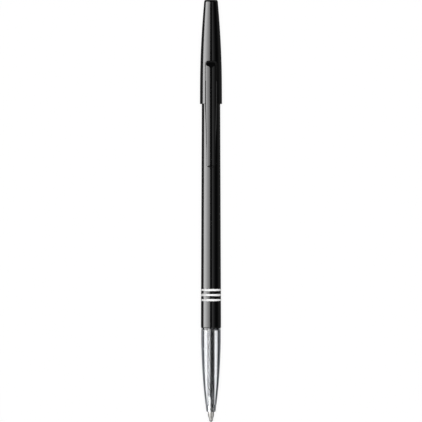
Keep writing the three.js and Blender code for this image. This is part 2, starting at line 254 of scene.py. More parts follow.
edge_front = barrel_front - EDGE_AHEAD
rolled_edge = rounded(
    (edge_front, BARREL_FRONT_RADIUS - EDGE_ROLL_DEPTH),
    (edge_front + EDGE_ROLL_LENGTH, barrel_radius(edge_front + EDGE_ROLL_LENGTH)),
    (edge_front, BARREL_FRONT_RADIUS),
)
rear_edge = rounded(
    (barrel_rear - BARREL_REAR_ROUND, BARREL_REAR_RADIUS),
    (barrel_rear, BARREL_REAR_RADIUS - BARREL_REAR_ROUND),
    (barrel_rear, BARREL_REAR_RADIUS),
)
barrel_tube = turned("barrel_tube", [
    (edge_front, BARREL_FRONT_RADIUS - BARREL_WALL),
    *rolled_edge,
    *rear_edge,
    (barrel_rear, BARREL_REAR_RADIUS - BARREL_WALL),
])
fit(barrel_tube, "pen_body", "black_plastic", "barrel")

# %% [markdown]
# ## Three printed rings
#
# The white rings are printed on the barrel. A texture could paint them, but ink has a thickness, so
# each is a skin of its own with edges that thin out, as wet ink pulls back before it dries.

# %% Printed rings
INK_SKIN = 0.025
SKIN_ROOT = 0.03
SKIN_EDGE = 0.06


def printed_ring(name, node):
    """A skin of ink on the barrel as long as its CAD node."""
    start, end = reach(node)
    outline = [(start, barrel_radius(start) - SKIN_ROOT)]
    outline += rounded(
        (start, barrel_radius(start)),
        (start + SKIN_EDGE, barrel_radius(start) + INK_SKIN),
        (start, barrel_radius(start) + INK_SKIN),
        FINE_STEPS,
    )
    outline += rounded(
        (end - SKIN_EDGE, barrel_radius(end) + INK_SKIN),
        (end, barrel_radius(end)),
        (end, barrel_radius(end) + INK_SKIN),
        FINE_STEPS,
    )
    outline.append((end, barrel_radius(end) - SKIN_ROOT))
    return fit(turned(name, outline), "pen_body", "white_print", node)


rings = [
    printed_ring("ring_" + place, "print_band_" + place) for place in ("front", "middle", "rear")
]

# %% [markdown]
# ## The clear nose
#
# The nose is one clear moulding: a collar that meets the barrel, a long curve to the front face, and a
# spigot that is pushed into the barrel. Its bore matters as much as its outside, because light bends at
# both: where a ray meets the bore too flatly, it turns back, and that draws the grey wall on each side.
# Smooth shading would round off the corners of the cone that leads to the spigot. Points close to its
# two ends keep them firm.

# %% Nose: its curves
SHOULDER_RADIUS = 3.69
COLLAR_LENGTH = 4.8
NOSE_WALL = 1.09
NOSE_FACE_RADIUS = 1.84
NOSE_FACE_ROUND_LENGTH = 1.4
NOSE_FRONT_PULL = 3.7
NOSE_FRONT_SLOPE = 0.17
NOSE_REAR_PULL = 12.6
NOSE_REAR_SLOPE = 0.017
SEAT_DEPTH = 2.73
SEAT_LENGTH = 1.7
SEAT_RADIUS = 1.625
BORE_STRAIGHT = 6.4
BORE_PULL = 13.0
BORE_SLOPE = 0.018

nose_rear = edge_front
seat = nose_front + SEAT_DEPTH
face_round_end = (nose_front + NOSE_FACE_ROUND_LENGTH, NOSE_FACE_RADIUS)
collar_front = (nose_rear - COLLAR_LENGTH, SHOULDER_RADIUS)
nose_outside = swell(
    face_round_end,
    pulled(face_round_end, NOSE_FRONT_PULL, NOSE_FRONT_SLOPE),
    pulled(collar_front, -NOSE_REAR_PULL, NOSE_REAR_SLOPE),
    collar_front,
)
bore_radius = SHOULDER_RADIUS - NOSE_WALL
bore_end = (nose_rear - BORE_STRAIGHT, bore_radius)
bore_pull = pulled(bore_end, -BORE_PULL, BORE_SLOPE)
nose_bore = swell(bore_end, bore_pull, bore_pull, (seat + SEAT_LENGTH, SEAT_RADIUS))
print("nose wall in mm at its collar:", NOSE_WALL)

# %% Nose
NOSE_FACE_ROUND_DEPTH = 0.34
TIP_HOLE_RADIUS = 1.2
SHOULDER_GAP = 0.02
SPIGOT_GAP = 0.77
SPIGOT_BORE = 2.18
BORE_CONE_LENGTH = 1.3
CONE_CORNER = 0.06
CONE_SHARES = (0, 0.04, 0.96, 1)

bore_cone = [
    (nose_rear - BORE_CONE_LENGTH * share, SPIGOT_BORE + (bore_radius - SPIGOT_BORE) * share)
    for share in CONE_SHARES
]
clear_nose = turned("clear_nose", [
    (nose_front, TIP_HOLE_RADIUS),
    *rounded(
        (nose_front, NOSE_FACE_RADIUS - NOSE_FACE_ROUND_DEPTH),
        face_round_end,
        (nose_front, NOSE_FACE_RADIUS),
    ),
    *nose_outside[1:],
    (nose_rear - SHOULDER_GAP, SHOULDER_RADIUS),
    (nose_rear - SHOULDER_GAP, barrel_radius(nose_rear) - SPIGOT_GAP),
    (spigot_end, barrel_radius(spigot_end) - SPIGOT_GAP),
    (spigot_end, SPIGOT_BORE),
    (nose_rear + CONE_CORNER, SPIGOT_BORE),
    *bore_cone,
    (nose_rear - BORE_CONE_LENGTH - CONE_CORNER, bore_radius),
    *nose_bore,
    (seat, SEAT_RADIUS),
    (seat, TIP_HOLE_RADIUS),
])
fit(clear_nose, "pen_body", "clear_plastic", "nose_section")

# %% [markdown]
# ## The refill: tube, ink and metal tip
#
# Ink wets the wall of its tube, so no air lies between them. If the ink were a hair thinner than the
# bore, light would see a film of air and turn the ink silver. So the ink and the metal shank are made a
# few thousandths of a millimetre thicker than the bore.

# %% Ink tube and ink
TUBE_RADIUS = 1.38
TUBE_BORE = 0.95
TUBE_EDGE = 0.08
WETTED = 0.005
INK_DISH = 0.6

tube_front, tube_rear = reach("refill_tube")
ink_front, ink_rear = reach("ink_column")
ink_tube = turned("ink_tube", [
    (tube_front, TUBE_BORE),
    *rounded((tube_front, TUBE_RADIUS - TUBE_EDGE), (tube_front + TUBE_EDGE, TUBE_RADIUS),
             (tube_front, TUBE_RADIUS), FINE_STEPS),
    (tube_rear, TUBE_RADIUS),
    (tube_rear, TUBE_BORE),
])
fit(ink_tube, "pen_body", "refill_plastic", "refill_tube")
black_ink = turned("black_ink", [
    (ink_front, 0),
    (ink_front, TUBE_BORE + WETTED),
    (ink_rear, TUBE_BORE + WETTED),
    (ink_rear - INK_DISH, 0),
])
fit(black_ink, "pen_body", "ink", "ink_column")

# %% [markdown]
# ## The metal tip and its ball
#
# The tip is turned from nickel silver wire. It has a lip crimped round the ball, a short cone, a neck,
# a shoulder cone and a body, and behind the body a thinner shank is pressed into the tube. The cutting
# tool leaves small bevels at each step, and those catch the light.

# %% Arcs about the ball
BALL_RADIUS = 0.5
ball_centre = pen_front + BALL_RADIUS


def around_ball(radius, start, end, steps):
    """Points of a circle about the ball's centre, with angles counted from +X."""
    angles = [start + (end - start) * step / steps for step in range(steps + 1)]
    return [(ball_centre + radius * math.cos(a), radius * math.sin(a)) for a in angles]


print("the ball's centre is at x =", ball_centre)

# %% Metal tip
LIP_SETBACK = 0.36
LIP_ROUND = 0.04
LIP_FACE = 0.024
LIP_WALL = 0.06
SOCKET_GAP = 0.02
SOCKET_STEPS = 12
NECK_START = 0.92
NECK_END = 1.38
NECK_RADIUS = 0.76
NECK_DROP = 0.02
BODY_START = 2.5
BODY_RADIUS = 1.14
BODY_DROP = 0.03
BODY_BEVEL = 0.1
CHANNEL_RADIUS = 0.25
SHANK_GAP = 0.03
BEVEL = 0.06
TIP_AROUND = 96

socket_radius = BALL_RADIUS + SOCKET_GAP
lip_angle = math.acos((LIP_SETBACK - BALL_RADIUS) / socket_radius)
channel_angle = math.asin(CHANNEL_RADIUS / socket_radius)
lip_radius = socket_radius * math.sin(lip_angle)
shank_end = ink_front - SHANK_GAP
metal_tip = turned("metal_tip", [
    (pen_front + LIP_SETBACK, lip_radius + LIP_FACE),
    (pen_front + LIP_SETBACK + LIP_ROUND, lip_radius + LIP_WALL),
    (pen_front + NECK_START - BEVEL, NECK_RADIUS - NECK_DROP),
    (pen_front + NECK_START, NECK_RADIUS),
    (pen_front + NECK_END, NECK_RADIUS),
    (pen_front + NECK_END + BEVEL, NECK_RADIUS + BODY_DROP),
    (pen_front + BODY_START - BODY_BEVEL, BODY_RADIUS - BODY_DROP),
    (pen_front + BODY_START, BODY_RADIUS),
    (seat - BEVEL, BODY_RADIUS),
    (seat, BODY_RADIUS - BEVEL),
    (seat, TUBE_BORE + WETTED),
    (shank_end - BEVEL, TUBE_BORE + WETTED),
    (shank_end, TUBE_BORE + WETTED - BEVEL),
    (shank_end, CHANNEL_RADIUS),
    *around_ball(socket_radius, channel_angle, lip_angle, SOCKET_STEPS),
], TIP_AROUND)
fit(metal_tip, "pen_body", "nickel_silver", "writing_tip")

# %% Ball
BALL_STEPS = 32
BALL_AROUND = 64

ball_step = math.pi / BALL_STEPS
metal_ball = turned("metal_ball", [
    (ball_centre - BALL_RADIUS, 0),
    *around_ball(BALL_RADIUS, math.pi - ball_step, ball_step, BALL_STEPS - 2),
    (ball_centre + BALL_RADIUS, 0),
], BALL_AROUND)
fit(metal_ball, "rolling_ball", "ball_metal", "ball")

# %% [markdown]
# ## The rear plug
#
# The plug closes the barrel under the cap. Its hole lets air in behind the ink as the ink is used.

# %% Rear plug
PLUG_GAP = 0.08
PLUG_SHANK_GAP = 0.03
PLUG_HEAD_GAP = 0.02
PLUG_ROUND = 0.2
VENT_RADIUS = 0.5

plug_front, plug_rear = reach("end_plug")
plug_shank = BARREL_REAR_RADIUS - BARREL_WALL - PLUG_SHANK_GAP
plug_head = BARREL_REAR_RADIUS - PLUG_GAP
head_front = barrel_rear + PLUG_HEAD_GAP
rear_plug = turned("rear_plug", [
    (plug_front, VENT_RADIUS),
    (plug_front, plug_shank - PLUG_ROUND),
    (plug_front + PLUG_ROUND, plug_shank),
    (head_front, plug_shank),
    (head_front, plug_head),
    *rounded((plug_rear - PLUG_ROUND, plug_head), (plug_rear, plug_head - PLUG_ROUND),
             (plug_rear, plug_head)),
    *rounded((plug_rear, VENT_RADIUS + PLUG_ROUND), (plug_rear - PLUG_ROUND, VENT_RADIUS),
             (plug_rear, VENT_RADIUS)),
])
fit(rear_plug, "pen_body", "plug_plastic", "end_plug")

# %% [markdown]
# ## The cap
#
# The cap swells a little towards its rim and ends in a flat closed end. Inside it is straight where it
# grips the nose's shoulder, and narrower above, where it grips the rear of the barrel.

# %% Cap
CAP_RIM_PULL = 8.6
CAP_RIM_SLOPE = 0.01
CAP_END_PULL = 19.5
CAP_END_SLOPE = 0.087
RIM_RADIUS = 4.19
MOUTH_RADIUS = 3.72
RIM_ROUND = 0.09
MOUTH_BEVEL = 0.12
GRIP_LENGTH = 6.0
POSTED_DEPTH = 17.1
POST_RADIUS = 3.47
CAP_END_RADIUS = 2.64
CAP_END_ROUND_LENGTH = 1.1
CAP_END_ROUND_DEPTH = 0.46
CAP_END_WALL = 1.2
CAP_HOLLOW_END_RADIUS = 2.04
CAP_HOLLOW_ROUND = 0.5
CAP_HOLLOW_STEPS = 5

hollow_end = cap_end - CAP_END_WALL
rim_edge = (cap_rim + RIM_ROUND, RIM_RADIUS)
end_edge = (cap_end - CAP_END_ROUND_LENGTH, CAP_END_RADIUS)
cap_side = swell(
    rim_edge,
    pulled(rim_edge, CAP_RIM_PULL, -CAP_RIM_SLOPE),
    pulled(end_edge, -CAP_END_PULL, -CAP_END_SLOPE),
    end_edge,
)
cap_shell = turned("cap_shell", [
    (hollow_end, 0),
    *rounded((hollow_end, CAP_HOLLOW_END_RADIUS - CAP_HOLLOW_ROUND),
             (hollow_end - CAP_HOLLOW_ROUND, CAP_HOLLOW_END_RADIUS),
             (hollow_end, CAP_HOLLOW_END_RADIUS), CAP_HOLLOW_STEPS),
    (cap_rim + POSTED_DEPTH, POST_RADIUS),
    (cap_rim + GRIP_LENGTH, MOUTH_RADIUS),
    (cap_rim + 2 * MOUTH_BEVEL, MOUTH_RADIUS),
    (cap_rim, MOUTH_RADIUS + MOUTH_BEVEL),
    *rounded((cap_rim, RIM_RADIUS - RIM_ROUND), rim_edge, (cap_rim, RIM_RADIUS)),
    *cap_side[1:-1],
    *rounded(end_edge, (cap_end, CAP_END_RADIUS - CAP_END_ROUND_DEPTH), (cap_end, CAP_END_RADIUS)),
    (cap_end, 0),
])
fit(cap_shell, "cap_body", "black_plastic", "cap")

# %% [markdown]
# ## The clip
#
# The clip is moulded in one with the cap. It rises from the cap in a root with a rounded bend, runs
# forward as a strap with a crowned face, narrows past the cap's rim and ends round, with a bump beneath
# that would hold a pocket's cloth. It is drawn as a row of cross sections that are joined up, because
# each section then follows simple rules: how wide it is, how high its top is, and what lies below it.

# %% Clip: how wide and how high
CLIP_TIP_SETBACK = 0.2
CLIP_LENGTH = 40.5
CLIP_ROOT_LENGTH = 7.5
CLIP_WIDE = 1.95
CLIP_SLIM = 1.6
CLIP_TAPER_LENGTH = 17.5
CLIP_TIP_ROUND = 1.1
CLIP_TOP = 5.8
CLIP_UNDERSIDE = 4.55
CLIP_CROWN_RADIUS = 4.2
ROOT_BEND_LENGTH = 3.5
ROOT_BEND_DROP = 1.5
ROOT_CORNER_LENGTH = 1.3
ROOT_CORNER_DEPTH = 0.7
CLIP_NOSE_LENGTH = 1.15
CLIP_NOSE_DROP = 0.7
CLIP_NOSE_LIFT = 0.3
BUMP_START = 1.2
BUMP_LENGTH = 4.0
BUMP_DEPTH = 0.64

clip_tip = reach("clip")[0] + CLIP_TIP_SETBACK
clip_end = clip_tip + CLIP_LENGTH
root_front = clip_end - CLIP_ROOT_LENGTH


def held(share):
    """A share, held between 0 and 1."""
    return min(1.0, max(0.0, share))


def bow(share):
    """The height of a quarter circle of radius 1, from 1 at share 0 down to 0 at share 1."""
    return math.sqrt(1 - held(share) ** 2)


def drop_at_tip(x, length):
    """From 1 at the clip's free end to 0 at a length behind it, as a quarter circle falls."""
    return 1 - bow((clip_tip + length - x) / length)


def drop_at_root(x, length):
    """From 0 at a length before the clip's root end to 1 at that end."""
    return 1 - bow((x - (clip_end - length)) / length)


def clip_half_width(x):
    taper = held((x - cap_rim + CLIP_TAPER_LENGTH) / CLIP_TAPER_LENGTH)
    width = CLIP_SLIM + (CLIP_WIDE - CLIP_SLIM) * taper
    width *= 1 - drop_at_tip(x, CLIP_TIP_ROUND)
    return width - ROOT_CORNER_DEPTH * drop_at_root(x, ROOT_CORNER_LENGTH)


def clip_top(x):
    nose_drop = CLIP_NOSE_DROP * drop_at_tip(x, CLIP_NOSE_LENGTH)
    return CLIP_TOP - nose_drop - ROOT_BEND_DROP * drop_at_root(x, ROOT_BEND_LENGTH)


def clip_underside(x):
    share = held((x - clip_tip - BUMP_START) / BUMP_LENGTH)
    bump = BUMP_DEPTH * (1 - math.cos(2 * math.pi * share)) / 2
    return CLIP_UNDERSIDE - bump + CLIP_NOSE_LIFT * drop_at_tip(x, CLIP_NOSE_LENGTH)


print("clip from", round(clip_tip, 2), "to", round(clip_end, 2), "root front at", round(root_front, 2))

# %% Clip: one cross section
TOP_EDGE = 0.3
TOP_EDGE_SHARE = 0.6
TOP_EDGE_DROP = 0.7
UNDER_EDGE = 0.1
UNDER_EDGE_SHARE = 0.3
ROOT_FILLET = 0.12
ROOT_SINK = 0.15
ARMPIT = 0.7
SIDE_LEAN = 0.3
SIDE_LEAN_AT_TIP = 0.14
TOP_POINTS = 16
EDGE_POINTS = 6
UNDER_POINTS = 6


def radius_at(outline, along):
    """The radius of an outline that runs towards +X, read between its points."""
    for (x0, r0), (x1, r1) in zip(outline, outline[1:]):
        if x0 <= along <= x1 and x1 > x0:
            return r0 + (r1 - r0) * (along - x0) / (x1 - x0)
    return outline[0][1] if along < outline[0][0] else outline[-1][1]


def clip_section(x):
    """Half of a cross section as (y, z) points above the axis, from the top's middle to below."""
    half = clip_half_width(x)
    edge = min(TOP_EDGE, half * TOP_EDGE_SHARE)
    grown = 1 - bow((x - (root_front - ARMPIT)) / ARMPIT)
    foot = ROOT_FILLET * grown - min(UNDER_EDGE, half * UNDER_EDGE_SHARE) * (1 - grown)
    cap_radius = radius_at(cap_side, x) - ROOT_SINK

    def crown(y):
        return clip_top(x) - CLIP_CROWN_RADIUS + math.sqrt(CLIP_CROWN_RADIUS ** 2 - y * y)

    def below(y):
        on_cap = math.sqrt(cap_radius ** 2 - y * y)
        return clip_underside(x) * (1 - grown) + on_cap * grown

    section = []
    for k in range(TOP_POINTS):
        y = (half - edge) * k / (TOP_POINTS - 1)
        section.append((y, crown(y)))
    side_top = crown(half) - edge * TOP_EDGE_DROP
    section += swell(section[-1], (half, crown(half)), (half, side_top), steps=EDGE_POINTS)[1:]
    over_cap = held((half - CLIP_SLIM) / (CLIP_WIDE - CLIP_SLIM))
    lean = SIDE_LEAN_AT_TIP + (SIDE_LEAN - SIDE_LEAN_AT_TIP) * over_cap
    wide = half + lean * min(1.0, half)
    base = below(half)
    side = rounded((wide, base + abs(foot)), (wide + foot, base), (wide, base), EDGE_POINTS)
    section += [(y, min(z, side_top)) for y, z in side]
    for k in range(1, UNDER_POINTS + 1):
        y = (wide + foot) * (1 - k / UNDER_POINTS)
        section.append((y, min(below(y), clip_top(x))))
    return section


print("points in half a clip section:", len(clip_section(root_front)))

# %% Clip: places along it
def places_between(start, end, count, dense):
    """Places after start and up to end, closer together where dense says."""
    places = []
    for k in range(1, count + 1):
        share = k / count
        if dense == "start":
            share = 1 - math.cos(share * math.pi / 2)
        if dense == "end":
            share = math.sin(share * math.pi / 2)
        places.append(start + (end - start) * share)
    return places


stations = [clip_tip]
for stop, count, dense in (
    (clip_tip + CLIP_TIP_ROUND, 16, "start"),
    (clip_tip + BUMP_START + BUMP_LENGTH, 16, "neither"),
    (cap_rim - CLIP_TAPER_LENGTH, 3, "neither"),
    (cap_rim, 12, "neither"),
    (root_front - ARMPIT, 8, "neither"),
    (root_front, 10, "end"),
    (clip_end - ROOT_BEND_LENGTH, 5, "neither"),
    (clip_end, 22, "end"),
):
    stations += places_between(stations[-1], stop, count, dense)
print("cross sections in the clip:", len(stations))

# %% Clip: join the sections up
CLIP_CRISP_ANGLE = math.radians(60)
CLIP_BEND_LENGTH = 9.0

clip_points, clip_rings = [], []
for x in stations:
    right = clip_section(x)
    left = [(-y, z) for y, z in reversed(right[1:-1])]
    ring = right + left
    clip_rings.append(range(len(clip_points), len(clip_points) + len(ring)))
    clip_points += [(x * MM, y * MM, axis_height + z * MM) for y, z in ring]
clip_faces = []
for near, far in zip(clip_rings, clip_rings[1:]):
    for k in range(len(near)):
        following = (k + 1) % len(near)
        clip_faces.append((near[k], near[following], far[following], far[k]))
clip_faces.append(tuple(clip_rings[-1]))
cap_clip = finish_mesh("cap_clip", clip_points, clip_faces, CLIP_CRISP_ANGLE)
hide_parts("clip")
root_front * MM
(root_front - CLIP_BEND_LENGTH) * MM
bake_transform(cap_clip)

# %% [markdown]
# ## Writing shaders as sums
#
# A shader is a web of nodes. A small class wraps one output socket, so that adding or multiplying two
# wires makes the Math nodes. Every other node comes from one method, which sets the node up first and
# then gives its sockets their values or links.

# %% Wires
class Wire:
    """An output socket of a node tree, or with no socket, the tree itself."""

    def __init__(self, tree, socket=None):
        self.tree = tree
        self.socket = socket

    def node(self, kind, settings, inputs, output=0):
        """Adds a node: its settings, then the values or links of its sockets."""
        made = self.tree.nodes.new(kind)
        for name, value in settings.items():
            if name == "stops":
                ramp = made.color_ramp.elements
                while len(ramp) < len(value):
                    ramp.new(0.5)
                for element, (place, shade) in zip(ramp, value):
                    element.position = place
                    element.color = (*shade, 1.0)
            else:
                setattr(made, name, value)
        for name, value in inputs.items():
            if isinstance(value, Wire):
                self.tree.links.new(value.socket, made.inputs[name])
            else:
                made.inputs[name].default_value = value
        return Wire(self.tree, made.outputs[output] if made.outputs else None)

    def output(self, name):
        """Another output of the same node."""
        return Wire(self.tree, self.socket.node.outputs[name])

    def maths(self, operation, first, second):
        return self.node("ShaderNodeMath", {"operation": operation}, {0: first, 1: second})

    def __add__(self, other):
        return self.maths("ADD", self, other)

    def __radd__(self, other):
        return self.maths("ADD", other, self)

    def __sub__(self, other):
        return self.maths("SUBTRACT", self, other)

    def __rsub__(self, other):
        return self.maths("SUBTRACT", other, self)

    def __mul__(self, other):
        return self.maths("MULTIPLY", self, other)

    def __rmul__(self, other):
        return self.maths("MULTIPLY", other, self)


# %% Shader helpers
def new_material(name):
    """An empty material and the wire that its nodes are made from."""
    material = bpy.data.materials.new(name)
    material.use_nodes = True
    material.node_tree.nodes.clear()
    return material, Wire(material.node_tree)


def surface(start, shader):
    start.node("ShaderNodeOutputMaterial", {}, {"Surface": shader})


def blend_colours(start, share, first, second):
    """Mixes two colours by a wire from 0 to 1."""
    return start.node("ShaderNodeMix", {"data_type": "RGBA"}, {0: share, 6: first, 7: second}, 2)


def coordinate(start, axis):
    """How far a place lies along X, Y or Z in the object's own coordinates, in metres."""
    place = start.node("ShaderNodeTexCoord", {}, {}, "Object")
    return start.node("ShaderNodeSeparateXYZ", {}, {"Vector": place}, axis)


def change(value, low, high, first=0.0, last=1.0, smooth=False):
    """Goes from first to last while a wire's value goes from low to high."""
    settings = {"interpolation_type": "SMOOTHSTEP"} if smooth else {}
    return value.node("ShaderNodeMapRange", settings, {
        "Value": value, "From Min": low, "From Max": high, "To Min": first, "To Max": last,
    })


def noise(start, scale, detail, stretch=None):
    """Noise from 0 to 1 with features per metre, drawn out along an axis whose stretch is small."""
    place = start.node("ShaderNodeTexCoord", {}, {}, "Object")
    if stretch:
        place = start.node("ShaderNodeMapping", {}, {"Vector": place, "Scale": stretch})
    return start.node("ShaderNodeTexNoise", {}, {"Vector": place, "Scale": scale, "Detail": detail})


def relief(height, strength, depth):
    """A bump of a depth in metres that follows a wire from 0 to 1."""
    return height.node("ShaderNodeBump", {}, {
        "Strength": strength, "Distance": depth, "Height": height,
    })


def dress(piece, material):
    """Gives a piece its material."""
    piece.data.materials.append(material)
    print(piece.name, "is", material.name, "with", len(material.node_tree.nodes), "nodes")


# %% [markdown]
# ## Polished black plastic
#
# The barrel, cap and clip are black polystyrene from a polished mould. Its own colour is almost
# nothing, and its skin is nearly a mirror, so what it shows is the lights. It bends light as
# polystyrene does, and that sets how strongly it mirrors. Handling leaves faint smears that only the
# roughness shows, and the skin sinks and swells a little where the plastic flowed.

# %% Black plastic
BLACK = (0.001, 0.001, 0.0011, 1.0)
BLACK_WORN = (0.0024, 0.0024, 0.0026, 1.0)
POLYSTYRENE_IOR = 1.59


def polished_black(name):
    material, start = new_material(name)
    smears = noise(start, scale=260.0, detail=4.0, stretch=(0.35, 1.0, 1.0))
    flow = noise(start, scale=90.0, detail=2.0, stretch=(0.25, 1.0, 1.0))
    dust = noise(start, scale=5200.0, detail=2.0)
    surface(start, start.node("ShaderNodeBsdfPrincipled", {}, {
        "Base Color": blend_colours(start, smears * 0.6 + dust * 0.3, BLACK, BLACK_WORN),
        "Roughness": 0.045 + smears * 0.04 + dust * 0.012,
        "IOR": POLYSTYRENE_IOR,
        "Normal": relief(flow, strength=0.4, depth=2e-6),
    }))
    return material


for piece in (barrel_tube, cap_shell, cap_clip):
    dress(piece, polished_black("black_of_" + piece.name))

# %% [markdown]
# ## White print
#
# Pad-printed ink is opaque and a little duller than the plastic under it. Its cover isn't even, so the
# white varies by a few parts in a hundred, and its surface is faintly grained.

# %% White print
THIN_WHITE = (0.87, 0.87, 0.87, 1.0)
FULL_WHITE = (0.93, 0.93, 0.925, 1.0)


def white_print():
    material, start = new_material("white_print_ink")
    cover = noise(start, scale=1500.0, detail=4.0)
    grain = noise(start, scale=6500.0, detail=2.0)
    surface(start, start.node("ShaderNodeBsdfPrincipled", {}, {
        "Base Color": blend_colours(start, cover, THIN_WHITE, FULL_WHITE),
        "Roughness": 0.6 + grain * 0.15,
        "Specular IOR Level": 0.05,
        "Normal": relief(grain, strength=0.3, depth=4e-6),
    }))
    return material


ring_ink = white_print()
for ring in rings:
    dress(ring, ring_ink)

# %% [markdown]
# ## Clear plastic
#
# The nose is real glass to the renderer: light passes in, bends, and turns back where it meets the bore
# too flatly. On the real nose those places look grey and a little blue, because the light that turns
# back comes from the dim sides of the room. Here the Fresnel node finds them: it gives 1 where all light
# turns back inside, and there the plastic mirrors a grey instead of a full white. The grey is darkest
# where light only just turns back, which draws a dark line along the bore. Towards its front the nose is
# nearly solid, so its tint gets deeper there. The spigot inside the barrel is ground so that it grips,
# and shows as a dull grey through the cone before it. The plastic's first mirror image is kept weak, as
# the photograph shows hardly any, and a coat brings it back over the cone, where there is one.

# %% Clear plastic: its colours
WALL_DARK = (0.03, 0.036, 0.045, 1.0)
WALL_GREY = (0.33, 0.345, 0.365, 1.0)
WALL_DARK_FACING = 0.25
WALL_GREY_FACING = 0.5
CLEAR_TINT = (0.87, 0.88, 0.895, 1.0)
CLEAREST_TINT = (0.92, 0.925, 0.94, 1.0)
SOLID_TINT = (0.78, 0.79, 0.81, 1.0)
FAINT_MIRROR = (0.08, 0.08, 0.08, 1.0)
GROUND_GREY = (0.74, 0.75, 0.77, 1.0)
GROUND_PALE = (0.84, 0.85, 0.87, 1.0)


def tint_and_wall(start, along, haze, turned_back):
    """The colour of light that goes through, and of light that turns back inside."""
    clear = blend_colours(start, haze, CLEAR_TINT, CLEAREST_TINT)
    solid = change(along, nose_front * MM, ink_front * MM, 1.0, 0.0)
    clear = blend_colours(start, solid, clear, SOLID_TINT)
    facing = start.node("ShaderNodeLayerWeight", {}, {"Blend": 0.5}, "Facing")
    greyness = change(facing, WALL_DARK_FACING, WALL_GREY_FACING)
    wall = blend_colours(start, greyness, WALL_DARK, WALL_GREY)
    return blend_colours(start, turned_back, clear, wall)


print("tints of the clear plastic, front and rear:", SOLID_TINT[:3], CLEAR_TINT[:3])

# %% Clear plastic
CLEAR_IOR = 1.5
ALL_TURNED_BACK = 0.97
CHANGE_LENGTH = 0.2
GROUND_SHARE = 0.9


def clear_plastic():
    material, start = new_material("clear_polystyrene")
    haze = noise(start, scale=420.0, detail=3.0, stretch=(0.4, 1.0, 1.0))
    flow = noise(start, scale=110.0, detail=2.0, stretch=(0.25, 1.0, 1.0))
    fresnel = start.node("ShaderNodeFresnel", {}, {"IOR": CLEAR_IOR})
    turned_back = start.maths("GREATER_THAN", fresnel, ALL_TURNED_BACK)
    along = coordinate(start, "X")
    cone_front = nose_rear - BORE_CONE_LENGTH
    at_cone = change(along, cone_front * MM, (cone_front + CHANGE_LENGTH) * MM)
    ground = change(along, nose_rear * MM, (nose_rear + CHANGE_LENGTH) * MM, 0.0, GROUND_SHARE)
    glassy = start.node("ShaderNodeBsdfPrincipled", {}, {
        "Base Color": tint_and_wall(start, along, haze, turned_back),
        "Metallic": turned_back,
        "Roughness": 0.015 + haze * 0.02,
        "IOR": CLEAR_IOR,
        "Transmission Weight": 1.0,
        "Specular Tint": FAINT_MIRROR,
        "Coat Weight": at_cone,
        "Normal": relief(flow, strength=0.25, depth=1e-6),
    })
    frosted = start.node("ShaderNodeBsdfPrincipled", {}, {
        "Base Color": blend_colours(start, haze, GROUND_GREY, GROUND_PALE),
        "Roughness": 0.7 + haze * 0.1,
    })
    surface(start, start.node("ShaderNodeMixShader", {}, {0: ground, 1: glassy, 2: frosted}))
    return material


dress(clear_nose, clear_plastic())

# %% [markdown]
# ## Milky tube and black ink
#
# The ink tube is drawn from natural plastic, which lets light through but scatters some of it. Towards
# its sides one looks through more of its wall, so more of a milky shader is mixed in there. The Layer
# Weight node says how far a place turns away. The drawing leaves fine lines along the tube. The ink
# behind it is nearly black and wet.

# %% Milky tube
TUBE_IOR = 1.5
TUBE_COAT_IOR = 1.55
TUBE_TINT = (0.85, 0.86, 0.87, 1.0)
MILK_DARK = (0.27, 0.275, 0.28, 1.0)
MILK_PALE = (0.33, 0.335, 0.34, 1.0)
MILK_STOPS = [(0.02, 0.0), (0.12, 0.2), (0.3, 0.3), (0.7, 0.4)]


def milky_plastic():
    material, start = new_material("natural_tube_plastic")
    lines = noise(start, scale=2600.0, detail=2.0, stretch=(0.02, 1.0, 1.0))
    cloud = noise(start, scale=500.0, detail=3.0)
    facing = start.node("ShaderNodeLayerWeight", {}, {"Blend": 0.5}, "Facing")
    milkiness = start.node("ShaderNodeValToRGB", {
        "stops": [(turned_away, (share,) * 3) for turned_away, share in MILK_STOPS],
    }, {"Fac": facing})
    bump = relief(lines, strength=0.3, depth=2e-6)
    clear = start.node("ShaderNodeBsdfPrincipled", {}, {
        "Base Color": TUBE_TINT,
        "Roughness": 0.04 + lines * 0.04,
        "IOR": TUBE_IOR,
        "Transmission Weight": 1.0,
        "Coat Weight": 1.0,
        "Coat IOR": TUBE_COAT_IOR,
        "Normal": bump,
    })
    milky = start.node("ShaderNodeBsdfPrincipled", {}, {
        "Base Color": blend_colours(start, cloud, MILK_DARK, MILK_PALE),
        "Roughness": 0.3 + lines * 0.2,
        "Normal": bump,
    })
    surface(start, start.node("ShaderNodeMixShader", {}, {0: milkiness, 1: clear, 2: milky}))
    return material


dress(ink_tube, milky_plastic())

# %% Black ink
INK_IOR = 1.4
INK_BLACK = (0.0012, 0.0012, 0.0016, 1.0)
INK_BLUISH = (0.003, 0.003, 0.004, 1.0)


def wet_ink():
    material, start = new_material("wet_black_ink")
    cloud = noise(start, scale=800.0, detail=3.0)
    surface(start, start.node("ShaderNodeBsdfPrincipled", {}, {
        "Base Color": blend_colours(start, cloud, INK_BLACK, INK_BLUISH),
        "Roughness": 0.12 + cloud * 0.08,
        "IOR": INK_IOR,
    }))
    return material


dress(black_ink, wet_ink())

# %% [markdown]
# ## Turned metal
#
# Nickel silver is a warm pale grey metal. The lathe's cutting tool leaves a fine thread of grooves round
# it, so the bump is a row of rings along the axis, too fine to see singly, that spreads the reflection
# lengthways. Inside the nose its colour is painted darker, a painted shade that dims the light it
# mirrors there, and outside the nose it stays bright.
# The ball is ground and polished, and has no rings.

# %% Nickel silver
BRIGHT_METAL = (0.62, 0.61, 0.585, 1.0)
BRIGHTEST_METAL = (0.72, 0.71, 0.685, 1.0)
# The two darker colours are painted shade for the metal inside the nose, dimming the light it mirrors.
PAINTED_SHADE_METAL = (0.33, 0.325, 0.315, 1.0)
PAINTED_SHADE_METAL_PALE = (0.4, 0.395, 0.385, 1.0)
PAINTED_SHADE_EDGE = 0.3


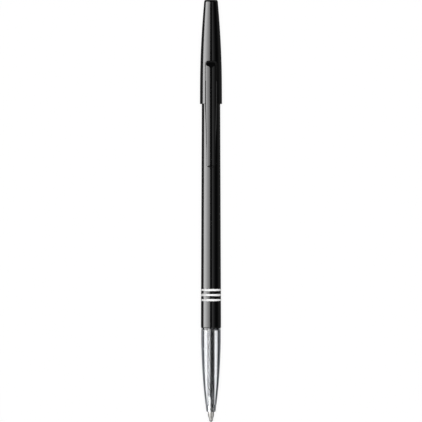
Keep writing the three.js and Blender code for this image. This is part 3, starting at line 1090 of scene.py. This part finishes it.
def turned_metal():
    material, start = new_material("turned_nickel_silver")
    grooves = start.node(
        "ShaderNodeTexWave",
        {"wave_type": "BANDS", "bands_direction": "X"},
        {"Vector": start.node("ShaderNodeTexCoord", {}, {}, "Object"),
         "Scale": 3800.0, "Distortion": 1.5, "Detail": 2.0},
        "Fac",
    )
    tarnish = noise(start, scale=900.0, detail=4.0)
    bright = blend_colours(start, tarnish, BRIGHT_METAL, BRIGHTEST_METAL)
    # Painted shade: inside the nose the metal's colour is made darker.
    painted_shade = blend_colours(start, tarnish, PAINTED_SHADE_METAL, PAINTED_SHADE_METAL_PALE)
    inside = change(coordinate(start, "X"), nose_front * MM, (nose_front + PAINTED_SHADE_EDGE) * MM)
    surface(start, start.node("ShaderNodeBsdfPrincipled", {}, {
        "Base Color": blend_colours(start, inside, bright, painted_shade),
        "Metallic": 1.0,
        "Roughness": 0.14 + tarnish * 0.08 + grooves * 0.04,
        "Normal": relief(grooves, strength=0.35, depth=4e-6),
    }))
    return material


dress(metal_tip, turned_metal())

# %% Ball metal
BALL_GREY = (0.46, 0.47, 0.5, 1.0)
BALL_PALE = (0.56, 0.57, 0.59, 1.0)


def ground_metal():
    material, start = new_material("ground_ball_metal")
    marks = noise(start, scale=7000.0, detail=3.0)
    surface(start, start.node("ShaderNodeBsdfPrincipled", {}, {
        "Base Color": blend_colours(start, marks, BALL_GREY, BALL_PALE),
        "Metallic": 1.0,
        "Roughness": 0.08 + marks * 0.06,
    }))
    return material


dress(metal_ball, ground_metal())

# %% [markdown]
# ## Plain black plastic
#
# Nobody sees the plug, so its mould isn't polished. It is dull, with the fine grain of a spark-eroded
# mould.

# %% Plug plastic
PLUG_IOR = 1.5
PLUG_BLACK = (0.014, 0.014, 0.016, 1.0)
PLUG_WORN = (0.024, 0.024, 0.026, 1.0)


def plain_black():
    material, start = new_material("plain_black_plastic")
    grain = noise(start, scale=4500.0, detail=3.0)
    wear = noise(start, scale=600.0, detail=3.0)
    surface(start, start.node("ShaderNodeBsdfPrincipled", {}, {
        "Base Color": blend_colours(start, wear, PLUG_BLACK, PLUG_WORN),
        "Roughness": 0.38 + grain * 0.16,
        "IOR": PLUG_IOR,
        "Normal": relief(grain, strength=0.5, depth=1e-5),
    }))
    return material


dress(rear_plug, plain_black())

# %% [markdown]
# ## The floor
#
# The photograph's background is plain white. The floor is a pale matte sheet, but to the camera, and
# through clear plastic, most of its light is its own white, so it stays even and keeps only a faint
# shadow. In reflections the floor beside the pen is much darker, because the photograph's black edges
# stay black down to the outline: there the pen stood clear of its background. Further to the left the
# floor shines as the tall light does, since the photograph's highlight goes on below the horizon.
# Close to the pen, on its right, lies the pen's own shade. White paper hides it from the camera, but the
# clear nose gathers it into its right wall, so a narrow strip there is grey through clear plastic.

# %% Floor: what reflections and clear plastic show of it
FLOOR_IN_GLOSS = 0.13
LIT_FLOOR_IN_GLOSS = 7.8
LIT_FLOOR_FROM = 0.07
LIT_FLOOR_TO = 0.09
LIT_FLOOR_ASPECT = 0.2
LIT_FLOOR_END = 0.1
LIT_FLOOR_END_BLUR = 0.02
SHADE_FROM = 0.0038
SHADE_TO = 0.01
SHADE_BLUR = 0.001
SHADE_LEVEL = 0.25


def floor_in_gloss(start):
    """The floor's level in reflections: dim beside the pen, bright further to the left."""
    left = coordinate(start, "Y")
    beside = change(left, LIT_FLOOR_FROM, LIT_FLOOR_TO, smooth=True)
    along = start.maths("ABSOLUTE", left.output("X"), 0.0) - left * LIT_FLOOR_ASPECT
    blur_start = LIT_FLOOR_END - LIT_FLOOR_END_BLUR
    blur_end = LIT_FLOOR_END + LIT_FLOOR_END_BLUR
    within = change(along, blur_start, blur_end, 1.0, 0.0, smooth=True)
    return FLOOR_IN_GLOSS + beside * within * (LIT_FLOOR_IN_GLOSS - FLOOR_IN_GLOSS)


def floor_through_plastic(start):
    """The floor's level through clear plastic: white, but for the shade to the pen's right."""
    middle = (SHADE_FROM + SHADE_TO) / 2
    edge = (SHADE_TO - SHADE_FROM) / 2
    off_middle = start.maths("ABSOLUTE", coordinate(start, "Y") + middle, 0.0)
    return change(off_middle, edge - SHADE_BLUR, edge, SHADE_LEVEL, 1.0, smooth=True)


print("shade beside the pen in mm: from", SHADE_FROM / MM, "to", SHADE_TO / MM)

# %% Floor
FLOOR_SIZE = 3.0
FLOOR_GLOW = 0.9
FLOOR_BOUNCE = 0.25
FLOOR_WHITE = 0.95
FLOOR_TOOTH = 0.02


def pale_floor():
    material, start = new_material("pale_floor_sheet")
    camera_ray = start.node("ShaderNodeLightPath", {}, {}, "Is Camera Ray")
    clear_ray = camera_ray.output("Is Transmission Ray")
    seen = start.maths("MAXIMUM", camera_ray, clear_ray)
    white = seen * start.maths("MAXIMUM", camera_ray, floor_through_plastic(start))
    level = white + (1 - seen) * floor_in_gloss(start)
    glow = start.node("ShaderNodeEmission", {}, {"Color": level, "Strength": 1.0})
    tooth = noise(start, scale=300.0, detail=2.0) * FLOOR_TOOTH
    paleness = FLOOR_BOUNCE + camera_ray * (FLOOR_WHITE - FLOOR_BOUNCE) + tooth
    matte = start.node("ShaderNodeBsdfDiffuse", {}, {"Color": paleness})
    share = start.maths("MAXIMUM", camera_ray * FLOOR_GLOW, camera_ray.output("Is Glossy Ray"))
    surface(start, start.node("ShaderNodeMixShader", {}, {0: share, 1: matte, 2: glow}))
    return material


def flat_panel(name, corners, material):
    """A flat sheet that is part of the stage."""
    mesh = bpy.data.meshes.new(name)
    mesh.from_pydata(corners, [], [tuple(range(len(corners)))])
    mesh.materials.append(material)
    panel = bpy.data.objects.new(name, mesh)
    bpy.context.scene.collection.objects.link(panel)
    return panel


half_floor = FLOOR_SIZE / 2
flat_panel("floor_sheet", [
    (-half_floor, -half_floor, 0), (half_floor, -half_floor, 0),
    (half_floor, half_floor, 0), (-half_floor, half_floor, 0),
], pale_floor())
print("floor side in m:", FLOOR_SIZE)

# %% [markdown]
# ## Two tall lights
#
# A black gloss cylinder is a mirror that shows a narrow picture of everything to its left and right.
# In the photograph the left of that picture is a tall bright panel, brighter low down than high up, the
# right is dim, and straight above there is a dark gap where the camera is. So two upright panels stand
# beside the pen. Their light depends on the angle at which the pen sees them, counted from straight up.
# They show in glossy surfaces alone, so the matte ones keep an even light from above. They are narrow at
# the foot, so that in a slanting view the far edge of the pen mirrors the dim room and stays dark.

# %% Side lights
LIGHT_SIDE = 0.3
LIGHT_HALF_LENGTH = 0.33
LIGHT_HALF_FOOT = 0.14
LIGHT_KNEE_HEIGHT = 0.7
LIGHT_GAP_ANGLE = 11.5
LEFT_STOPS = [(12, 2.2), (26, 3.7), (38, 4.8), (49, 6.0), (61, 7.4), (74, 8.4), (90, 7.8)]
RIGHT_STOPS = [(12, 0.6), (17, 0.59), (27, 0.36), (38, 0.16), (49, 0.04), (61, 0.0), (90, 0.05)]


def glowing_sheet(name, stops):
    """Light whose level follows the angle from straight up, as seen from the pen's axis."""
    material, start = new_material(name)
    brightest = max(level for degrees, level in stops)
    angle = start.maths("ARCTAN2", LIGHT_SIDE, coordinate(start, "Z") - axis_height)
    ramp = start.node("ShaderNodeValToRGB", {
        "stops": [(degrees / 90, (level / brightest,) * 3) for degrees, level in stops],
    }, {"Fac": angle * (2 / math.pi)})
    surface(start, start.node("ShaderNodeEmission", {}, {"Color": ramp, "Strength": brightest}))
    return material


def hide_from(thing, *rays):
    """Keeps a light or a sheet out of the kinds of rays that are named."""
    for ray in rays:
        setattr(thing, "visible_" + ray, False)


def side_light(name, side, stops):
    """An upright panel, narrow at its foot, that ends where the dark gap above the pen begins."""
    top = LIGHT_SIDE / math.tan(math.radians(LIGHT_GAP_ANGLE))
    edge = [(LIGHT_HALF_FOOT, 0), (LIGHT_HALF_LENGTH, LIGHT_KNEE_HEIGHT), (LIGHT_HALF_LENGTH, top)]
    other_edge = [(-x, z) for x, z in reversed(edge)]
    corners = [(x, side * LIGHT_SIDE, z) for x, z in edge + other_edge]
    panel = flat_panel(name, corners, glowing_sheet(name + "_glow", stops))
    hide_from(panel, "camera", "diffuse", "shadow")
    print(name, "is", round(top, 2), "m tall")


side_light("left_light", 1, LEFT_STOPS)
side_light("right_light", -1, RIGHT_STOPS)

# %% [markdown]
# ## Cards at the tip
#
# Metal mirrors far more than plastic, so it needs much weaker light. Cards stand on both sides of the
# tip, as a photographer would set them, and the left ones are brighter. The camera is far from the
# tip's end of the pen, so a straight mirror there throws each ray a little further that way, and the
# cards' rear edges lean by as much. The metal inside the nose has two cards of its own that show only
# through clear plastic. They end ahead of the ink, so that the ink keeps its shine.

# %% Tip cards
CARD_SIDE = 0.045
CARD_HEIGHT = 0.21
CARD_FRONT = nose_front - 120.0
LEFT_CARD_LEVEL = 1.0
RIGHT_CARD_LEVEL = 0.6
LEFT_INNER_LEVEL = 1.4
LEFT_INNER_END = ink_front - 10.0
RIGHT_INNER_LEVEL = 1.08
RIGHT_INNER_END = ink_front - 4.0


def mirrored_from(x, height):
    """Where on the cards' plane a mirror along the pen's top at x mm shows a height."""
    path = math.hypot(CARD_SIDE, height - axis_height)
    return x * MM + path * (x * MM - camera.location.x) / CAMERA_DISTANCE


def tip_card(name, side, rear, level, inside):
    """A card whose leaning rear edge shows at rear mm in the tip's mirror."""
    material, start = new_material(name + "_paper")
    surface(start, start.node("ShaderNodeEmission", {}, {"Strength": level}))
    card = flat_panel(name, [
        (CARD_FRONT * MM, side, 0), (mirrored_from(rear, 0), side, 0),
        (mirrored_from(rear, CARD_HEIGHT), side, CARD_HEIGHT), (CARD_FRONT * MM, side, CARD_HEIGHT),
    ], material)
    hide_from(card, "camera", "diffuse", "shadow", "glossy" if inside else "transmission")


tip_card("left_outer_card", CARD_SIDE, nose_front, LEFT_CARD_LEVEL, inside=False)
tip_card("right_outer_card", -CARD_SIDE, nose_front, RIGHT_CARD_LEVEL, inside=False)
tip_card("left_inner_card", CARD_SIDE, LEFT_INNER_END, LEFT_INNER_LEVEL, inside=True)
tip_card("right_inner_card", -CARD_SIDE, RIGHT_INNER_END, RIGHT_INNER_LEVEL, inside=True)
print("cards stand", CARD_SIDE, "m beside the tip")

# %% [markdown]
# ## A soft lamp above, and the room
#
# Matte surfaces such as the white rings need light from above too. A soft lamp gives it, and it stays
# out of reflections, because the gap above the pen has to stay dark. The room is white to the camera
# and dim in reflections. Through clear plastic it is white too, but for the dark gap overhead.

# %% Top lamp
LAMP_SIZE = 0.7
LAMP_HEIGHT = 1.2
LAMP_POWER = 15.8

lamp_data = bpy.data.lights.new("top_lamp", "AREA")
lamp_data.shape = "SQUARE"
lamp_data.size = LAMP_SIZE
lamp_data.energy = LAMP_POWER
lamp = bpy.data.objects.new("top_lamp", lamp_data)
bpy.context.scene.collection.objects.link(lamp)
lamp.location = (0, 0, LAMP_HEIGHT)
hide_from(lamp, "camera", "glossy", "transmission")
print("lamp radiance:", round(LAMP_POWER / (math.pi * LAMP_SIZE ** 2), 2))

# %% Room
ROOM_LEVEL = 0.08
ROOM_IN_GLOSS = 0.02
HORIZON_IN_GLOSS = 0.25
HORIZON_FROM = 0.1
HORIZON_TO = 0.6
ROOM_OVERHEAD = 0.12
OVERHEAD_FROM = 0.45
OVERHEAD_TO = 0.85

world = bpy.data.worlds.new("white_room")
world.use_nodes = True
world.node_tree.nodes.clear()
bpy.context.scene.world = world
room = Wire(world.node_tree)
camera_ray = room.node("ShaderNodeLightPath", {}, {}, "Is Camera Ray")
clear_ray = camera_ray.output("Is Transmission Ray")
glossy_ray = camera_ray.output("Is Glossy Ray")
direction = room.node("ShaderNodeTexCoord", {}, {}, "Generated")
height = room.node("ShaderNodeSeparateXYZ", {}, {"Vector": direction}, "Z")
overhead = change(height, OVERHEAD_FROM, OVERHEAD_TO, 1.0, ROOM_OVERHEAD, smooth=True)
low_down = change(height, HORIZON_FROM, HORIZON_TO, HORIZON_IN_GLOSS, ROOM_IN_GLOSS, smooth=True)
dim = glossy_ray * low_down + (1 - glossy_ray) * ROOM_LEVEL
level = camera_ray + (1 - camera_ray) * (clear_ray * overhead + (1 - clear_ray) * dim)
background = room.node("ShaderNodeBackground", {}, {"Color": level, "Strength": 1.0})
room.node("ShaderNodeOutputWorld", {}, {"Surface": background})
print("the room has", len(world.node_tree.nodes), "nodes")

# %% [markdown]
# ## Colour
#
# The Standard view shows a colour as it is written.

# %% View
bpy.context.scene.view_settings.view_transform = "Standard"
